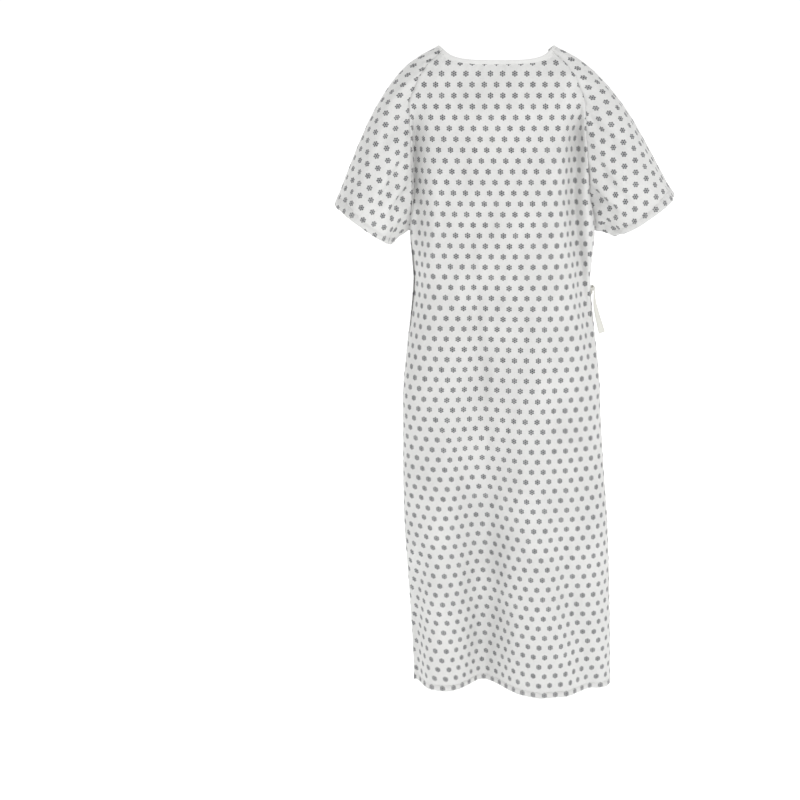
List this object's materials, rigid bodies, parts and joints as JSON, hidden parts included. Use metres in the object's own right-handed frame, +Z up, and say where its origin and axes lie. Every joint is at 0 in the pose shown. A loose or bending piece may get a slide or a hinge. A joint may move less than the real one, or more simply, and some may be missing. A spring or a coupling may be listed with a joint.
{
  "type": "patient gown",
  "caption": "Short-sleeved wrap patient gown in printed cloth: plain side, overlapping wrap side tied at neck and hip, hanging as if worn.",
  "frame": {"origin": "midway between the two neck points, level with the cloth at the neck corners", "axes": "+Z up, towards the neck; +Y out of the wrap side, where the gown ties; +X to the side with the hip ties, the wearer's left when the plain side is worn in front"},
  "size_m": [0.6344, 0.1984, 1.2321],
  "materials": {
    "printed_cloth": "matt woven cotton blend, off-white with a small slate-grey floret print",
    "hem_cloth": "the same printed cloth, turned twice and stitched",
    "white_tape": "matt white woven tape"
  },
  "bodies": {
    "root": {"front_panel": "printed_cloth", "front_hem": "hem_cloth", "front_neck_binding": "white_tape", "back_panel_inner": "printed_cloth", "back_panel_inner_edge_hem": "hem_cloth", "back_panel_inner_hem": "hem_cloth", "inner_neck_binding": "white_tape", "back_panel_outer_side": "printed_cloth", "back_panel_outer_side_hem": "hem_cloth", "left_sleeve_shoulder": "printed_cloth", "right_sleeve_shoulder": "printed_cloth", "neck_tie_inner": "white_tape", "side_tie_inner": "white_tape"},
    "outer_flap": {"back_panel_outer": "printed_cloth", "back_panel_outer_edge_hem": "hem_cloth", "back_panel_outer_hem": "hem_cloth", "outer_neck_binding": "white_tape", "neck_knot": "white_tape", "neck_tie_outer": "white_tape", "side_knot": "white_tape", "side_tie_outer": "white_tape"},
    "left_sleeve": {"left_sleeve": "printed_cloth", "left_sleeve_hem": "hem_cloth"},
    "right_sleeve": {"right_sleeve": "printed_cloth", "right_sleeve_hem": "hem_cloth"}
  },
  "joints": [
    {"name": "outer_flap_open", "type": "hinge", "parent": "root", "child": "outer_flap", "pos_m": [-0.1065, 0.0765, -0.6], "axis": [0, 0, 1], "range_deg": [0, 110]},
    {"name": "left_sleeve_lift", "type": "hinge", "parent": "root", "child": "left_sleeve", "pos_m": [0.199, 0, -0.063], "axis": [0, -1, 0], "range_deg": [0, 40]},
    {"name": "right_sleeve_lift", "type": "hinge", "parent": "root", "child": "right_sleeve", "pos_m": [-0.195, 0, -0.065], "axis": [0, 1, 0], "range_deg": [0, 40]}
  ]
}
